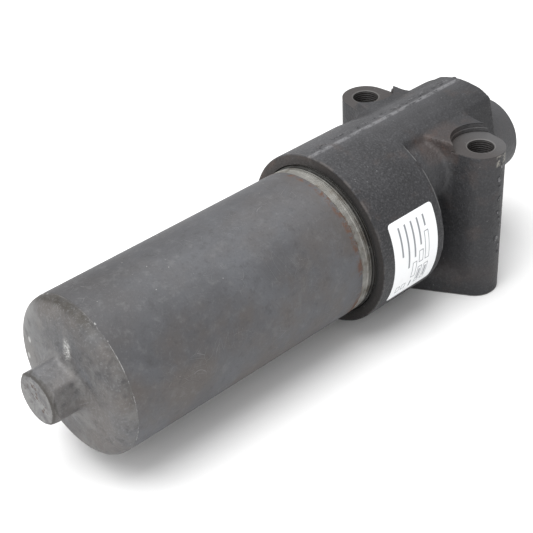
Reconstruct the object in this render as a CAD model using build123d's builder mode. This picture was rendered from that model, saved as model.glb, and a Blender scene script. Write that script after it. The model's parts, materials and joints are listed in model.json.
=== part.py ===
from build123d import *
import os

# A flange-mounted high-pressure hydraulic filter, in millimetres.
# The origin is the middle of the bolt line on the mounting face, with +Z up.
# The filter's axis runs along X, with the bowl towards -X.

os.makedirs("parts", exist_ok=True)

# Mounting face, foot and bolt columns
mounting_clearance = 2.0
bolt_spacing = 100.0
bolt_hole_radius = 8.5
column_radius = 16.0
spotface_radius = 20.0
spotface_height = 106.0
foot_thickness = 20.0
foot_edge_radius = 8.0
foot_tip_radius = 12.0
foot_tip_place = 35.0
neck_radius = 16.5
neck_place = 27.0

# Webs between the columns and the body
web_rise = 6.0
web_tip_radius = 12.0
web_front_place = 14.0
web_back_place = 9.0

# Head barrel, body, rear roof and rear boss
head_front = -97.5
barrel_wall = 8.0
barrel_length = 56.0
barrel_edge_radius = 1.2
barrel_back_radius = 2.0
body_wall = 10.0
body_back_wall = 16.0
body_corner_radius = 16.0
roof_right = -20.0
roof_left = 36.0
roof_lean = 14.0
roof_drop = 0.8
roof_overlap = 12.0
roof_corner_radius = 5.0
roof_end = 46.0
boss_radius = 26.0
boss_rise = 8.25
boss_end = 71.0
boss_start = 8.0
boss_taper = 8.0

# Thread and seal land between the bowl and the head
thread_pitch = 2.0
thread_turns = 12
thread_depth = 2.5
thread_clearance = 0.05
thread_runout = 2.0
land_clearance = 0.06
land_length = 16.0
mouth_chamfer = 0.9

# Cavity and passages in the head
cavity_step = 6.0
cavity_length = 19.5
cavity_corner_radius = 6.0
port_offset = 27.0
port_radius = 11.0
inlet_core_radius = 10.0
passage_radius = 9.5
bypass_angle = 123.7
bypass_gap = 6.3
bypass_core_radius = 5.0
bypass_chamber_length = 12.0
housing_wall = 6.7
housing_back_wall = 19.5
housing_corner_radius = 15.5

# Bowl
bowl_radius = 50.0
bowl_wall = 8.0
bowl_end_edge = -283.0
bowl_end_face = -292.4
bowl_end_roll = 11.0
bowl_dome_rise = 1.2
bowl_floor_thickness = 15.0
hex_across_flats = 32.0
hex_end = -314.3
hex_turn = 21.0
hex_chamfer = 1.3
band_start = -108.6
band_depth = 0.8
band_chamfer = 1.6
band_groove_depth = 0.5
band_groove_width = 0.9
band_groove_pitch = 2.4

# Rings and their grooves
ring_gap = 0.03
bowl_ring_section = 3.4
backup_thickness = 1.5
element_ring_section = 3.0
spigot_ring_section = 2.4
port_ring_section = 2.6
port_ring_radius = 13.9

# Element and spigot
spigot_radius = 14.0
spigot_bore = 7.5
spigot_tail_radius = 11.0
spigot_tail_length = 13.0
spigot_length = 38.0
spigot_lead = 1.5
spigot_reach = 1.0
spigot_flat_place = 8.0
spigot_flat_length = 6.0
spigot_flat_depth = 1.0
tail_clearance = 1.0
element_gap = 8.0
cap_thickness = 3.0
cap_rim = 7.0
cap_wall = 1.2
cap_edge_radius = 0.8
open_cap_neck_radius = 19.5
open_cap_neck_length = 14.0
closed_cap_gap = 9.0
centring_boss_radius = 8.0
centring_depth = 6.0
centring_chamfer = 1.0
running_clearance = 0.08
seat_gap = 0.3
pleat_count = 36
pleat_gap = 1.0
pleat_thickness = 0.9
tube_radius = 19.0
tube_wall = 1.4
tube_hole_radius = 3.5
tube_holes_around = 6
tube_hole_rows = 8

# Bypass valve
valve_flange_radius = 13.0
valve_flange_thickness = 3.5
valve_shank_radius = 11.5
valve_shank_length = 20.0
valve_bore_radius = 8.5
valve_flange_clearance = 1.0
valve_slot_width = 4.0
valve_slot_depth = 1.5
seat_radius = 6.5
poppet_nose_length = 2.0
poppet_crown = 2.0
poppet_skirt_length = 7.0
poppet_wall = 1.4
poppet_slot_width = 5.0
spring_radius = 5.4
spring_wire_radius = 0.7
spring_turns = 4
washer_thickness = 1.5
washer_hole_radius = 3.5
retaining_ring_thickness = 1.0
retaining_ring_depth = 0.9
retaining_ring_width = 2.2
retaining_ring_gap = 5.0
valve_lip = 1.5

# Port plug in the rear boss
plug_thread_radius = 10.0
plug_thread_length = 14.0
plug_head_radius = 14.0
plug_head_length = 5.0
plug_socket_width = 10.0
plug_socket_depth = 7.0
plug_edge = 1.0
plug_seal_thickness = 1.5
plug_recess_radius = 16.0
plug_recess_depth = 1.5
sensing_hole_radius = 1.5
sensing_hole_rise = 3.0

# Places worked out from the sizes above
bowl_inner_radius = bowl_radius - bowl_wall
thread_radius = bowl_radius - thread_depth
band_radius = bowl_radius - band_depth
cavity_radius = bowl_inner_radius - cavity_step
body_radius = cavity_radius + body_wall
barrel_radius = bowl_radius + barrel_wall
axis_height = barrel_radius + mounting_clearance
port_depth = axis_height - cavity_radius
web_top = spotface_height + web_rise
barrel_back = head_front + barrel_length
land_end = head_front + land_length
thread_end = land_end + thread_pitch * thread_turns
bowl_tip = thread_end - thread_runout
bowl_floor = bowl_end_edge + bowl_floor_thickness
partition_front = thread_end + cavity_length
body_end = partition_front + body_back_wall
inlet_core_place = (thread_end + partition_front) / 2
boss_axis = axis_height + boss_rise
roof_radius = barrel_radius - roof_drop
bypass_offset = Vector(spigot_radius + bypass_gap + valve_flange_radius, 0).rotate(
    Axis.Z, bypass_angle
)
bypass_side = bypass_offset.X
bypass_height = axis_height + bypass_offset.Y
valve_back = partition_front + valve_shank_length
housing_radius = valve_flange_radius + valve_flange_clearance + housing_wall
housing_end = valve_back + housing_back_wall
spigot_tip = partition_front - spigot_length
element_radius = bowl_inner_radius - element_gap
pleat_inner_radius = tube_radius + pleat_gap
open_cap_face = spigot_tip + spigot_reach + cap_thickness
closed_cap_face = bowl_floor + closed_cap_gap
ring_bore_radius = bowl_radius + land_clearance
bowl_groove_radius = ring_bore_radius - bowl_ring_section - 2 * ring_gap
bowl_groove_width = bowl_ring_section + backup_thickness + 3 * ring_gap
bowl_groove_start = (head_front + land_end - bowl_groove_width) / 2
plug_seat = boss_end - plug_recess_depth
column_places = [(0, bolt_spacing / 2), (0, -bolt_spacing / 2)]
filter_axis = Axis((0, 0, axis_height), (1, 0, 0))
bypass_axis = Axis((0, bypass_side, bypass_height), (1, 0, 0))


def across(x, z=axis_height, y=0.0):
    """The plane square to X at x: its own X runs along +Y and its own Y along +Z."""
    return Plane(origin=(x, y, z), x_dir=(0, 1, 0), z_dir=(1, 0, 0))


def lengthwise(z=axis_height, y=0.0):
    """An upright plane along the filter: its own X is X and its own Y is height above z."""
    return Plane(origin=(0, y, z), x_dir=(1, 0, 0), z_dir=(0, -1, 0))


def across_bypass(x):
    """The plane square to the bypass valve's axis at x."""
    return across(x, bypass_height, bypass_side)


def column_hull(front_place, back_place, tip_radius):
    """The outline drawn tightly round both bolt columns and a round tip fore and aft."""
    with Locations(*column_places):
        Circle(column_radius)
    with Locations((-front_place, 0), (back_place, 0)):
        Circle(tip_radius)
    make_hull()


def rounded_bar(x_start, x_end, radius, start_corner, end_corner):
    """Half the section of a round bar along X, with its two outer corners rounded."""
    with Locations((x_start, 0)):
        Rectangle(x_end - x_start, radius, align=(Align.MIN, Align.MIN))
    outer = vertices().group_by(Axis.Y)[-1].sort_by(Axis.X)
    if start_corner:
        fillet(outer[0], start_corner)
    fillet(outer[-1], end_corner)


def ring_section(place_x, place_r, section):
    """The round section of an O-ring, drawn in the lengthwise plane."""
    with Locations((place_x, place_r)):
        Circle(section / 2)


# Filter head: barrel, body, roof, boss, webs, columns and foot as one casting
with BuildPart() as filter_head:
    with BuildSketch(Plane.XY):
        column_hull(foot_tip_place, foot_tip_place, foot_tip_radius)
    extrude(amount=foot_thickness)
    fillet(filter_head.edges().group_by(Axis.Z)[-1], foot_edge_radius)
    with BuildSketch(across(barrel_back - roof_overlap)):
        Circle(roof_radius)
        with BuildLine():
            Polyline(
                (roof_right - roof_lean, 0), (roof_left + roof_lean, 0),
                (roof_left, roof_radius), (roof_right, roof_radius),
                close=True,
            )
        make_face(mode=Mode.INTERSECT)
    extrude(amount=roof_end - barrel_back + roof_overlap)
    fillet(filter_head.edges().filter_by(Axis.X).group_by(Axis.Z)[-1], roof_corner_radius)
    with BuildSketch(across(boss_end, boss_axis)):
        Circle(boss_radius)
    extrude(amount=boss_start - boss_end, taper=-boss_taper)
    with BuildSketch(Plane.XY):
        column_hull(web_front_place, web_back_place, web_tip_radius)
    extrude(amount=web_top)
    with BuildSketch(Plane.XY):
        SlotCenterToCenter(2 * neck_place, 2 * neck_radius)
    extrude(amount=axis_height)
    with BuildSketch(lengthwise(bypass_height, bypass_side)):
        rounded_bar(barrel_back - roof_overlap, housing_end, housing_radius, 0, housing_corner_radius)
    revolve(axis=bypass_axis)
    with BuildSketch(lengthwise()):
        rounded_bar(barrel_back - roof_overlap, body_end, body_radius, 0, body_corner_radius)
    revolve(axis=filter_axis)
    with BuildSketch(lengthwise()):
        rounded_bar(head_front, barrel_back, barrel_radius, barrel_edge_radius, barrel_back_radius)
    revolve(axis=filter_axis)

    # Spotfaces and bolt holes
    with Locations(*[(x, y, spotface_height) for x, y in column_places]):
        Cylinder(
            spotface_radius, 2 * web_rise,
            align=(Align.CENTER, Align.CENTER, Align.MIN), mode=Mode.SUBTRACT,
        )
    with BuildSketch(Plane.XY):
        with Locations(*column_places):
            Circle(bolt_hole_radius)
    extrude(amount=web_top, mode=Mode.SUBTRACT)

    # Seal land, thread bore and cavity, bored from the front
    with BuildSketch(lengthwise()):
        with BuildLine():
            Polyline(
                (head_front, 0),
                (head_front, ring_bore_radius + mouth_chamfer),
                (head_front + mouth_chamfer, ring_bore_radius),
                (land_end, ring_bore_radius),
                (land_end, thread_radius + thread_clearance),
                (thread_end, thread_radius + thread_clearance),
                (thread_end, cavity_radius),
                (partition_front, cavity_radius),
                (partition_front, 0),
                close=True,
            )
        make_face()
        fillet(vertices().group_by(Axis.X)[-1].sort_by(Axis.Y)[-1], cavity_corner_radius)
    revolve(axis=filter_axis, mode=Mode.SUBTRACT)

    # Clean passage with its spigot thread, and the bypass bore beside it
    with BuildSketch(across(partition_front)):
        Circle(spigot_tail_radius)
    extrude(amount=spigot_tail_length + tail_clearance, mode=Mode.SUBTRACT)
    with BuildSketch(across(partition_front)):
        Circle(passage_radius)
    extrude(amount=port_offset + port_radius - partition_front, mode=Mode.SUBTRACT)
    with BuildSketch(across_bypass(thread_end)):
        Circle(valve_flange_radius + valve_flange_clearance)
    extrude(amount=partition_front - thread_end, mode=Mode.SUBTRACT)
    with BuildSketch(across_bypass(partition_front)):
        Circle(valve_shank_radius + thread_clearance)
    extrude(amount=valve_shank_length, mode=Mode.SUBTRACT)
    with BuildSketch(across_bypass(valve_back)):
        Circle(valve_bore_radius)
    extrude(amount=bypass_chamber_length, mode=Mode.SUBTRACT)
    chamber_middle = Vector(valve_back + bypass_chamber_length / 2, bypass_side, bypass_height)
    to_passage = Vector(chamber_middle.X, 0, axis_height) - chamber_middle
    with BuildSketch(Plane(origin=chamber_middle, z_dir=to_passage)):
        Circle(bypass_core_radius)
    extrude(amount=to_passage.length, mode=Mode.SUBTRACT)

    # Ports in the mounting face, the slanting core to the cavity and the ring grooves
    with BuildSketch(Plane.XY):
        with Locations((-port_offset, 0)):
            Circle(port_radius)
    extrude(amount=port_depth, mode=Mode.SUBTRACT)
    core_foot = Vector(-port_offset, 0, port_depth - inlet_core_radius)
    core_top = Vector(inlet_core_place, 0, axis_height - cavity_radius + inlet_core_radius)
    with BuildSketch(Plane(origin=core_foot, z_dir=core_top - core_foot)):
        Circle(inlet_core_radius)
    extrude(amount=(core_top - core_foot).length, mode=Mode.SUBTRACT)
    with BuildSketch(Plane.XY):
        with Locations((port_offset, 0)):
            Circle(port_radius)
    extrude(amount=axis_height, mode=Mode.SUBTRACT)
    with BuildSketch(Plane.XY):
        with Locations((-port_offset, 0), (port_offset, 0)):
            Circle(port_ring_radius + port_ring_section / 2 + ring_gap)
            Circle(port_ring_radius - port_ring_section / 2 - ring_gap, mode=Mode.SUBTRACT)
    extrude(amount=port_ring_section + 2 * ring_gap, mode=Mode.SUBTRACT)

    # Plugged port in the rear boss, with a small hole to the clean passage
    with BuildSketch(across(plug_seat, boss_axis)):
        Circle(plug_recess_radius)
    extrude(amount=plug_recess_depth, mode=Mode.SUBTRACT)
    with BuildSketch(across(plug_seat - plug_thread_length - plug_seal_thickness, boss_axis)):
        Circle(plug_thread_radius + thread_clearance)
    extrude(amount=plug_thread_length + plug_seal_thickness, mode=Mode.SUBTRACT)
    with BuildSketch(across(port_offset, axis_height + sensing_hole_rise)):
        Circle(sensing_hole_radius)
    extrude(amount=plug_seat - port_offset, mode=Mode.SUBTRACT)
filter_head.part.label = "filter_head"
export_step(filter_head.part, "parts/filter_head.step")

# Bowl: wall, thread, seal land, machined band and domed end in one turning
end_roll_radius = bowl_radius - bowl_end_roll
hex_start = bowl_end_face - bowl_dome_rise
with BuildPart() as bowl:
    with BuildSketch(lengthwise()):
        with BuildLine():
            Line((bowl_floor, 0), (hex_start, 0))
            Line((hex_start, 0), (hex_start, hex_across_flats / 2))
            Line((hex_start, hex_across_flats / 2), (bowl_end_face, end_roll_radius))
            EllipticalCenterArc(
                (bowl_end_edge, end_roll_radius), bowl_end_edge - bowl_end_face, bowl_end_roll,
                start_angle=90, arc_size=90,
            )
            Polyline(
                (bowl_end_edge, bowl_radius),
                (band_start, bowl_radius),
                (band_start + band_chamfer, band_radius),
                (head_front - band_groove_pitch - band_depth, band_radius),
                (head_front - band_groove_pitch, bowl_radius),
                (land_end - thread_runout, bowl_radius),
                (land_end - thread_runout, thread_radius),
                (bowl_tip, thread_radius),
                (bowl_tip, bowl_inner_radius),
                (bowl_floor, bowl_inner_radius),
                (bowl_floor, 0),
            )
        make_face()
        inner_corner = vertices().filter_by(lambda v: abs(v.X - bowl_floor) < 0.01)
        fillet(inner_corner.sort_by(Axis.Y)[-1], bowl_wall)
        chamfer(vertices().group_by(Axis.X)[-1].sort_by(Axis.Y)[-1], thread_pitch / 2)
        with Locations((bowl_groove_start, bowl_groove_radius)):
            Rectangle(
                bowl_groove_width, bowl_radius, align=(Align.MIN, Align.MIN), mode=Mode.SUBTRACT
            )
        for step in (1, 2):
            with Locations((band_start + band_chamfer + step * band_groove_pitch, band_radius)):
                Rectangle(
                    band_groove_width, 2 * band_groove_depth,
                    align=(Align.MIN, Align.CENTER), mode=Mode.SUBTRACT,
                )
    revolve(axis=filter_axis)
    with BuildSketch(across(bowl_floor)):
        Circle(centring_boss_radius + running_clearance)
    extrude(amount=-centring_depth, mode=Mode.SUBTRACT)
    with BuildSketch(across(hex_end)):
        RegularPolygon(hex_across_flats / 2, 6, major_radius=False, rotation=hex_turn)
    extrude(amount=bowl_end_face - hex_end)
    with BuildSketch(lengthwise()):
        with BuildLine():
            Polyline(
                (hex_end, hex_across_flats / 2 - hex_chamfer / 2),
                (hex_end + hex_chamfer, hex_across_flats / 2 + 2 * hex_chamfer),
                (hex_end, hex_across_flats / 2 + 2 * hex_chamfer),
                close=True,
            )
        make_face()
    revolve(axis=filter_axis, mode=Mode.SUBTRACT)
bowl.part.label = "bowl"
export_step(bowl.part, "parts/bowl.step")

# Seals in the bowl's groove
with BuildPart() as bowl_o_ring:
    with BuildSketch(lengthwise()):
        ring_section(
            bowl_groove_start + bowl_groove_width - bowl_ring_section / 2 - ring_gap,
            bowl_groove_radius + ring_gap + bowl_ring_section / 2,
            bowl_ring_section,
        )
    revolve(axis=filter_axis)
bowl_o_ring.part.label = "bowl_o_ring"
export_step(bowl_o_ring.part, "parts/bowl_o_ring.step")

with BuildPart() as bowl_backup_ring:
    with BuildSketch(lengthwise()):
        with Locations((bowl_groove_start + ring_gap, bowl_groove_radius + ring_gap)):
            Rectangle(backup_thickness, bowl_ring_section, align=(Align.MIN, Align.MIN))
    revolve(axis=filter_axis)
bowl_backup_ring.part.label = "bowl_backup_ring"
export_step(bowl_backup_ring.part, "parts/bowl_backup_ring.step")

# Spigot that carries the open end of the element
spigot_groove_radius = spigot_tail_radius - spigot_ring_section - ring_gap
spigot_groove_width = spigot_ring_section + 2 * ring_gap
spigot_groove_start = partition_front + spigot_tail_length / 2
with BuildPart() as element_spigot:
    with BuildSketch(lengthwise()):
        with BuildLine():
            Polyline(
                (spigot_tip, spigot_bore),
                (spigot_tip, spigot_radius - spigot_lead),
                (spigot_tip + 2 * spigot_lead, spigot_radius),
                (partition_front, spigot_radius),
                (partition_front, spigot_tail_radius),
                (partition_front + spigot_tail_length, spigot_tail_radius),
                (partition_front + spigot_tail_length, spigot_bore),
                close=True,
            )
        make_face()
        with Locations((spigot_groove_start, spigot_groove_radius)):
            Rectangle(
                spigot_groove_width, spigot_tail_radius,
                align=(Align.MIN, Align.MIN), mode=Mode.SUBTRACT,
            )
    revolve(axis=filter_axis)
    with BuildSketch(across(partition_front - spigot_flat_place)):
        Rectangle(3 * spigot_radius, 3 * spigot_radius)
        Rectangle(
            2 * (spigot_radius - spigot_flat_depth), 3 * spigot_radius, mode=Mode.SUBTRACT
        )
    extrude(amount=spigot_flat_length, mode=Mode.SUBTRACT)
element_spigot.part.label = "element_spigot"
export_step(element_spigot.part, "parts/element_spigot.step")

with BuildPart() as spigot_o_ring:
    with BuildSketch(lengthwise()):
        ring_section(
            spigot_groove_start + spigot_groove_width / 2,
            spigot_tail_radius - spigot_ring_section / 2,
            spigot_ring_section,
        )
    revolve(axis=filter_axis)
spigot_o_ring.part.label = "spigot_o_ring"
export_step(spigot_o_ring.part, "parts/spigot_o_ring.step")

# Element: two end caps, a perforated tube, pleats and the ring on the spigot
neck_end = open_cap_face + open_cap_neck_length
cap_bore = spigot_radius + running_clearance
element_groove_radius = cap_bore + element_ring_section + ring_gap
element_groove_width = element_ring_section + 2 * ring_gap
element_groove_start = open_cap_face + open_cap_neck_length / 2 - element_groove_width / 2
with BuildPart() as element_open_cap:
    with BuildSketch(lengthwise()):
        with Locations((open_cap_face - cap_thickness, cap_bore)):
            Rectangle(cap_thickness, element_radius - cap_bore, align=(Align.MIN, Align.MIN))
        with Locations((open_cap_face - cap_thickness, element_radius - cap_wall)):
            Rectangle(cap_rim, cap_wall, align=(Align.MAX, Align.MIN))
        with Locations((open_cap_face, cap_bore)):
            Rectangle(
                open_cap_neck_length, open_cap_neck_radius - cap_bore,
                align=(Align.MIN, Align.MIN),
            )
        with Locations((element_groove_start, cap_bore)):
            Rectangle(
                element_groove_width, element_groove_radius - cap_bore,
                align=(Align.MIN, Align.MIN), mode=Mode.SUBTRACT,
            )
    revolve(axis=filter_axis)
    fillet(element_open_cap.edges().group_by(Axis.X)[-1], cap_edge_radius)
element_open_cap.part.label = "element_open_cap"
export_step(element_open_cap.part, "parts/element_open_cap.step")

with BuildPart() as element_o_ring:
    with BuildSketch(lengthwise()):
        ring_section(
            element_groove_start + element_groove_width / 2,
            spigot_radius + ring_gap + element_ring_section / 2,
            element_ring_section,
        )
    revolve(axis=filter_axis)
element_o_ring.part.label = "element_o_ring"
export_step(element_o_ring.part, "parts/element_o_ring.step")

with BuildPart() as element_closed_cap:
    with BuildSketch(lengthwise()):
        with Locations((closed_cap_face, 0)):
            Rectangle(cap_thickness, element_radius, align=(Align.MIN, Align.MIN))
        with Locations((closed_cap_face + cap_thickness, element_radius - cap_wall)):
            Rectangle(cap_rim, cap_wall, align=(Align.MIN, Align.MIN))
        with Locations((closed_cap_face, 0)):
            Rectangle(
                closed_cap_gap + centring_depth - seat_gap, centring_boss_radius,
                align=(Align.MAX, Align.MIN),
            )
    revolve(axis=filter_axis)
    chamfer(element_closed_cap.edges().group_by(Axis.X)[0], centring_chamfer)
element_closed_cap.part.label = "element_closed_cap"
export_step(element_closed_cap.part, "parts/element_closed_cap.step")

media_start = closed_cap_face + cap_thickness
media_end = open_cap_face - cap_thickness
media_length = media_end - media_start
with BuildPart() as support_tube:
    with BuildSketch(across(media_start)):
        Circle(tube_radius)
        Circle(tube_radius - tube_wall, mode=Mode.SUBTRACT)
    extrude(amount=media_length)
    with BuildSketch(Plane.XY.offset(axis_height)) as tube_holes:
        with Locations((media_start + media_length / 2, 0)):
            with GridLocations(media_length / tube_hole_rows, 1, tube_hole_rows, 1):
                RegularPolygon(tube_hole_radius, 8)
    for turn in range(tube_holes_around // 2):
        hole_face = tube_holes.sketch.rotate(filter_axis, turn * 360 / tube_holes_around)
        extrude(hole_face, amount=2 * tube_radius, both=True, mode=Mode.SUBTRACT)
support_tube.part.label = "support_tube"
export_step(support_tube.part, "parts/support_tube.step")

pleat_outer_radius = element_radius - cap_wall - seat_gap
pleat_places = []
for step in range(2 * pleat_count):
    tip = pleat_outer_radius if step % 2 == 0 else pleat_inner_radius + pleat_thickness
    pleat_places.append((tip, step * 180 / pleat_count))
with BuildPart() as pleated_media:
    with BuildSketch(across(media_start)):
        with BuildLine():
            Polyline(
                *[Vector(r, 0).rotate(Axis.Z, turn) for r, turn in pleat_places], close=True
            )
        make_face()
        with BuildLine():
            Polyline(
                *[
                    Vector(r - pleat_thickness, 0).rotate(Axis.Z, turn)
                    for r, turn in pleat_places
                ],
                close=True,
            )
        make_face(mode=Mode.SUBTRACT)
    extrude(amount=media_length)
pleated_media.part.label = "pleated_media"
export_step(pleated_media.part, "parts/pleated_media.step")

# Bypass valve: cartridge, poppet, spring, washer and retaining ring
ring_seat = valve_back - valve_lip - retaining_ring_thickness
with BuildPart() as bypass_valve_body:
    with BuildSketch(lengthwise(bypass_height, bypass_side)):
        with BuildLine():
            Polyline(
                (partition_front - valve_flange_thickness, seat_radius),
                (partition_front - valve_flange_thickness, valve_flange_radius),
                (partition_front, valve_flange_radius),
                (partition_front, valve_shank_radius),
                (valve_back, valve_shank_radius),
                (valve_back, valve_bore_radius),
                (partition_front, valve_bore_radius),
                (partition_front, seat_radius),
                close=True,
            )
        make_face()
        with Locations((ring_seat, valve_bore_radius)):
            Rectangle(
                retaining_ring_thickness, retaining_ring_depth,
                align=(Align.MIN, Align.MIN), mode=Mode.SUBTRACT,
            )
    revolve(axis=bypass_axis)
    with BuildSketch(across_bypass(partition_front - valve_flange_thickness)):
        Rectangle(3 * valve_flange_radius, valve_slot_width)
    extrude(amount=valve_slot_depth, mode=Mode.SUBTRACT)
bypass_valve_body.part.label = "bypass_valve_body"
export_step(bypass_valve_body.part, "parts/bypass_valve_body.step")

poppet_radius = valve_bore_radius - running_clearance
poppet_front = partition_front + running_clearance
with BuildPart() as bypass_poppet:
    with BuildSketch(lengthwise(bypass_height, bypass_side)):
        with BuildLine():
            Polyline(
                (poppet_front - poppet_nose_length, 0),
                (poppet_front - poppet_nose_length, seat_radius - poppet_nose_length),
                (poppet_front, seat_radius - running_clearance),
                (poppet_front, poppet_radius),
                (poppet_front + poppet_skirt_length, poppet_radius),
                (poppet_front + poppet_skirt_length, poppet_radius - poppet_wall),
                (poppet_front + poppet_crown, poppet_radius - poppet_wall),
                (poppet_front + poppet_crown, 0),
                close=True,
            )
        make_face()
    revolve(axis=bypass_axis)
    with BuildSketch(across_bypass(poppet_front)):
        for turn in (0, 90):
            Rectangle(4 * poppet_radius, poppet_slot_width, rotation=turn)
        Circle(poppet_radius - poppet_wall, mode=Mode.SUBTRACT)
    extrude(amount=poppet_skirt_length, mode=Mode.SUBTRACT)
bypass_poppet.part.label = "bypass_poppet"
export_step(bypass_poppet.part, "parts/bypass_poppet.step")

spring_start = poppet_front + poppet_crown
spring_end = ring_seat - washer_thickness
spring_height = spring_end - spring_start - 2 * spring_wire_radius
with BuildPart() as bypass_spring:
    with BuildLine():
        coil = Helix(
            spring_height / spring_turns, spring_height, spring_radius,
            center=(spring_start + spring_wire_radius, bypass_side, bypass_height),
            direction=(1, 0, 0),
        )
    with BuildSketch(Plane(origin=coil @ 0, z_dir=coil % 0)):
        RegularPolygon(spring_wire_radius, 6)
    sweep(path=coil, is_frenet=True)
bypass_spring.part.label = "bypass_spring"
export_step(bypass_spring.part, "parts/bypass_spring.step")

with BuildPart() as bypass_spring_washer:
    with BuildSketch(across_bypass(spring_end)):
        Circle(poppet_radius)
        Circle(washer_hole_radius, mode=Mode.SUBTRACT)
    extrude(amount=washer_thickness)
bypass_spring_washer.part.label = "bypass_spring_washer"
export_step(bypass_spring_washer.part, "parts/bypass_spring_washer.step")

with BuildPart() as bypass_retaining_ring:
    with BuildSketch(across_bypass(ring_seat)):
        Circle(valve_bore_radius + retaining_ring_depth)
        Circle(valve_bore_radius + retaining_ring_depth - retaining_ring_width, mode=Mode.SUBTRACT)
        Rectangle(
            retaining_ring_gap, 2 * valve_bore_radius,
            align=(Align.CENTER, Align.MIN), mode=Mode.SUBTRACT,
        )
    extrude(amount=retaining_ring_thickness)
bypass_retaining_ring.part.label = "bypass_retaining_ring"
export_step(bypass_retaining_ring.part, "parts/bypass_retaining_ring.step")

# Port plug and its seal in the rear boss
plug_face = plug_seat + plug_seal_thickness
with BuildPart() as port_plug:
    with BuildSketch(across(plug_face, boss_axis)):
        Circle(plug_head_radius)
    extrude(amount=plug_head_length)
    chamfer(port_plug.edges().group_by(Axis.X)[-1], plug_edge)
    with BuildSketch(across(plug_face, boss_axis)):
        Circle(plug_thread_radius)
    extrude(amount=-plug_thread_length)
    chamfer(port_plug.edges().group_by(Axis.X)[0], thread_pitch / 2)
    with BuildSketch(across(plug_face + plug_head_length, boss_axis)):
        RegularPolygon(plug_socket_width / 2, 6, major_radius=False)
    extrude(amount=-plug_socket_depth, mode=Mode.SUBTRACT)
port_plug.part.label = "port_plug"
export_step(port_plug.part, "parts/port_plug.step")

with BuildPart() as port_plug_seal:
    with BuildSketch(across(plug_seat, boss_axis)):
        Circle(plug_head_radius)
        Circle(plug_thread_radius + thread_clearance, mode=Mode.SUBTRACT)
    extrude(amount=plug_seal_thickness)
port_plug_seal.part.label = "port_plug_seal"
export_step(port_plug_seal.part, "parts/port_plug_seal.step")

# Rings that seal the two ports on the manifold, one node each
for ring_name, ring_x in (("inlet_o_ring", -port_offset), ("outlet_o_ring", port_offset)):
    ring_plane = Plane(origin=(ring_x, 0, 0), x_dir=(1, 0, 0), z_dir=(0, -1, 0))
    with BuildPart() as port_ring:
        with BuildSketch(ring_plane):
            ring_section(port_ring_radius, port_ring_section / 2 + ring_gap, port_ring_section)
        revolve(axis=Axis((ring_x, 0, 0), (0, 0, 1)))
    port_ring.part.label = ring_name
    export_step(port_ring.part, f"parts/{ring_name}.step")
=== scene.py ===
import json
import math
import random

import bpy
from bpy.props import FloatProperty, FloatVectorProperty, IntProperty, PointerProperty
from mathutils import Matrix, Vector


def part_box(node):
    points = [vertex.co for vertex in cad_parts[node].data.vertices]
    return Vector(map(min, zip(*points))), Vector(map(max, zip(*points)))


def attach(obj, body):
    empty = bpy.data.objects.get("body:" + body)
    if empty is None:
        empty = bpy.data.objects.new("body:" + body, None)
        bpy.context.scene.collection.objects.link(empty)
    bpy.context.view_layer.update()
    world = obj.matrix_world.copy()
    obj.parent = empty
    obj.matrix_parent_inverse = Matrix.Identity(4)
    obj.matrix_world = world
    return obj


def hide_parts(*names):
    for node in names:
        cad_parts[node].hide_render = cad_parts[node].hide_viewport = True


bl_info = {
    "name": "Hydraulic Filter",
    "version": (1, 0, 0),
    "blender": (4, 5, 0),
    "location": "3D View > Sidebar > Filter",
    "description": "Dresses the packed frame of a manifold-mounted high-pressure hydraulic filter",
    "category": "Add Mesh",
}

MM = 0.001

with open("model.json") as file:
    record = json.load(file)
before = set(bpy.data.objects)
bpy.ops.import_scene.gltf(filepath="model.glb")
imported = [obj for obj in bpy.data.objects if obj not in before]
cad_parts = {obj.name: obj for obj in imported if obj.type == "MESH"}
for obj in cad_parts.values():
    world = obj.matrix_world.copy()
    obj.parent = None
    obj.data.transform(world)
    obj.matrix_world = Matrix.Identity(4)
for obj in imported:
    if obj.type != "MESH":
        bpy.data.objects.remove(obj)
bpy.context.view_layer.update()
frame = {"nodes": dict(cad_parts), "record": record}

# Places in millimetres in the frame: X along the filter, Z out of the mounting face
AXIS_Z = 60.0
FRONT = -97.5
BARREL_RADIUS = 58.0
BARREL_BACK = -41.5
ROOF_RADIUS = 58.5
ROOF_END = 45.0
SEAM_SIDE = 5.0
SEAM_RADIUS = 1.6
COLUMN_RADIUS = 16.0
BOLT_SIDE = 50.0
BOLT_PLACES = ((0, BOLT_SIDE), (0, -BOLT_SIDE))
BOLT_RADIUS = 8.5
SPOTFACE_Z = 106.0
WEB_TOP = 112.0
TIP_RADIUS = 12.0
BOSS_Z = 68.25
BOSS_END = 71.0
BYPASS_AXIS = (-18.5, 87.7)
PORT_OFFSET = 27.0
PORT_RADIUS = 11.0
LAND_RADIUS = 50.06
LAND_END = -81.5
THREAD_START = -83.4
THREAD_END = -57.5
THREAD_PITCH = 2.0
THREAD_TURNS = 11
THREAD_ROOT = 46.9
THREAD_CREST = 47.45
PARTITION = -38.0
BOWL_TIP = -59.5
BOWL_END = -283.0
BOWL_FLOOR = -268.0
HEX_END = -314.3
HEX_FLAT = 16.0
BAND_START = -108.6
LABEL_MIDDLE = -68.5
LABEL_WIDTH = 39.5
LABEL_THICKNESS = 0.12
LABEL_STRIPS = 40
NICKS = ((35.2, 70.6), (39.3, 56.9))

# Angles in degrees: the hexagon's turn, the label's two ends, and the camera's three turns
HEX_TURN = 21.0
LABEL_LOW, LABEL_HIGH = -30.0, 29.0
CAMERA_AZIMUTH, CAMERA_TILT, CAMERA_ROLL = -41.330, 34.871, -3.081

# In metres, solved from the photograph's outlines
CAMERA_PLACE = (-0.5770, -0.4947, 0.5203)

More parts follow.
